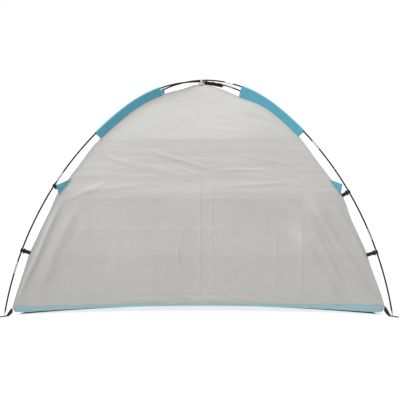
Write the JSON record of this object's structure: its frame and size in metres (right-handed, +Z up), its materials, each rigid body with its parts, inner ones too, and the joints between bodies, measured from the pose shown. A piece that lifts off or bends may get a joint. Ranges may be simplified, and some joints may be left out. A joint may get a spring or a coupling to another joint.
{
  "type": "two-pole beach shelter",
  "caption": "Half-dome beach and camping shelter: grey canopy open at the front, hung on two crossed shock-corded poles with blue sleeves, clips and corner straps.",
  "frame": {"origin": "on the ground, under the crossing of the poles, at the middle of the footprint", "axes": "+Z up; +Y towards the open front; +X to the right as seen from behind, along the longer side"},
  "size_m": [2.1652, 1.312, 1.3251],
  "materials": {
    "fibreglass": "smooth black resin tube",
    "ferrule_metal": "drawn grey metal tube",
    "elastic_cord": "braided elastic",
    "tip_metal": "turned metal stud",
    "canopy_cloth": "grey coated polyester, plain weave",
    "blue_cloth": "blue coated polyester",
    "groundsheet_film": "woven and coated floor cloth",
    "webbing": "black ribbed webbing",
    "grey_tape": "grey elastic tape",
    "eyelet_metal": "plated eyelet",
    "clip_plastic": "black moulded plastic"
  },
  "bodies": {
    "shelter": {"pole_a_section_1": "fibreglass", "pole_a_section_2": "fibreglass", "pole_a_section_3": "fibreglass", "pole_a_section_4": "fibreglass", "pole_a_section_5": "fibreglass", "pole_a_section_6": "fibreglass", "pole_a_section_7": "fibreglass", "pole_b_section_1": "fibreglass", "pole_b_section_2": "fibreglass", "pole_b_section_3": "fibreglass", "pole_b_section_4": "fibreglass", "pole_b_section_5": "fibreglass", "pole_b_section_6": "fibreglass", "pole_b_section_7": "fibreglass", "pole_a_ferrules": "ferrule_metal", "pole_b_ferrules": "ferrule_metal", "pole_a_shock_cord": "elastic_cord", "pole_b_shock_cord": "elastic_cord", "pole_tips": "tip_metal", "rear_wall": "canopy_cloth", "rear_roof_panel": "canopy_cloth", "left_wall": "canopy_cloth", "right_wall": "canopy_cloth", "front_roof_panel": "canopy_cloth", "apex_patch": "canopy_cloth", "groundsheet": "groundsheet_film", "floor_skirt_rear": "groundsheet_film", "floor_skirt_left": "groundsheet_film", "floor_skirt_right": "groundsheet_film", "sleeve_rear_left": "blue_cloth", "ridge_gusset_rear_left": "blue_cloth", "clip_straps_rear_left": "webbing", "corner_strap_rear_left": "webbing", "sleeve_rear_right": "blue_cloth", "ridge_gusset_rear_right": "blue_cloth", "clip_straps_rear_right": "webbing", "corner_strap_rear_right": "webbing", "sleeve_front_right": "blue_cloth", "ridge_gusset_front_right": "blue_cloth", "clip_straps_front_right": "webbing", "corner_strap_front_right": "webbing", "sleeve_front_left": "blue_cloth", "ridge_gusset_front_left": "blue_cloth", "clip_straps_front_left": "webbing", "corner_strap_front_left": "webbing", "pole_eyelets": "eyelet_metal", "peg_eyelets": "eyelet_metal", "apex_loop": "grey_tape", "apex_tie_tape": "webbing"},
    "clip_lower_rear_left": {"clip_lower_rear_left": "clip_plastic"},
    "clip_upper_rear_left": {"clip_upper_rear_left": "clip_plastic"},
    "clip_lower_rear_right": {"clip_lower_rear_right": "clip_plastic"},
    "clip_upper_rear_right": {"clip_upper_rear_right": "clip_plastic"},
    "clip_lower_front_right": {"clip_lower_front_right": "clip_plastic"},
    "clip_upper_front_right": {"clip_upper_front_right": "clip_plastic"},
    "clip_lower_front_left": {"clip_lower_front_left": "clip_plastic"},
    "clip_upper_front_left": {"clip_upper_front_left": "clip_plastic"}
  },
  "joints": [
    {"name": "clip_lower_rear_left_swing", "type": "hinge", "parent": "shelter", "child": "clip_lower_rear_left", "pos_m": [-0.95247, -0.5723, 0.34423], "axis": [-0.31, -0.1862, -0.9323], "range_deg": [0, 110]},
    {"name": "clip_upper_rear_left_swing", "type": "hinge", "parent": "shelter", "child": "clip_upper_rear_left", "pos_m": [-0.79842, -0.47974, 0.688], "axis": [-0.4793, -0.288, -0.829], "range_deg": [0, 110]},
    {"name": "clip_lower_rear_right_swing", "type": "hinge", "parent": "shelter", "child": "clip_lower_rear_right", "pos_m": [0.95744, -0.57529, 0.33492], "axis": [-0.3002, 0.1804, 0.9367], "range_deg": [0, 110]},
    {"name": "clip_upper_rear_right_swing", "type": "hinge", "parent": "shelter", "child": "clip_upper_rear_right", "pos_m": [0.82111, -0.49337, 0.65533], "axis": [-0.458, 0.2752, 0.8453], "range_deg": [0, 110]},
    {"name": "clip_lower_front_right_swing", "type": "hinge", "parent": "shelter", "child": "clip_lower_front_right", "pos_m": [0.95896, 0.5762, 0.32436], "axis": [0.3002, 0.1804, -0.9367], "range_deg": [0, 110]},
    {"name": "clip_upper_front_right_swing", "type": "hinge", "parent": "shelter", "child": "clip_upper_front_right", "pos_m": [0.82262, 0.49428, 0.64477], "axis": [0.458, 0.2752, -0.8453], "range_deg": [0, 110]},
    {"name": "clip_lower_front_left_swing", "type": "hinge", "parent": "shelter", "child": "clip_lower_front_left", "pos_m": [-0.95744, 0.57529, 0.33492], "axis": [0.3002, -0.1804, 0.9367], "range_deg": [0, 110]},
    {"name": "clip_upper_front_left_swing", "type": "hinge", "parent": "shelter", "child": "clip_upper_front_left", "pos_m": [-0.82111, 0.49337, 0.65533], "axis": [0.458, -0.2752, 0.8453], "range_deg": [0, 110]}
  ]
}
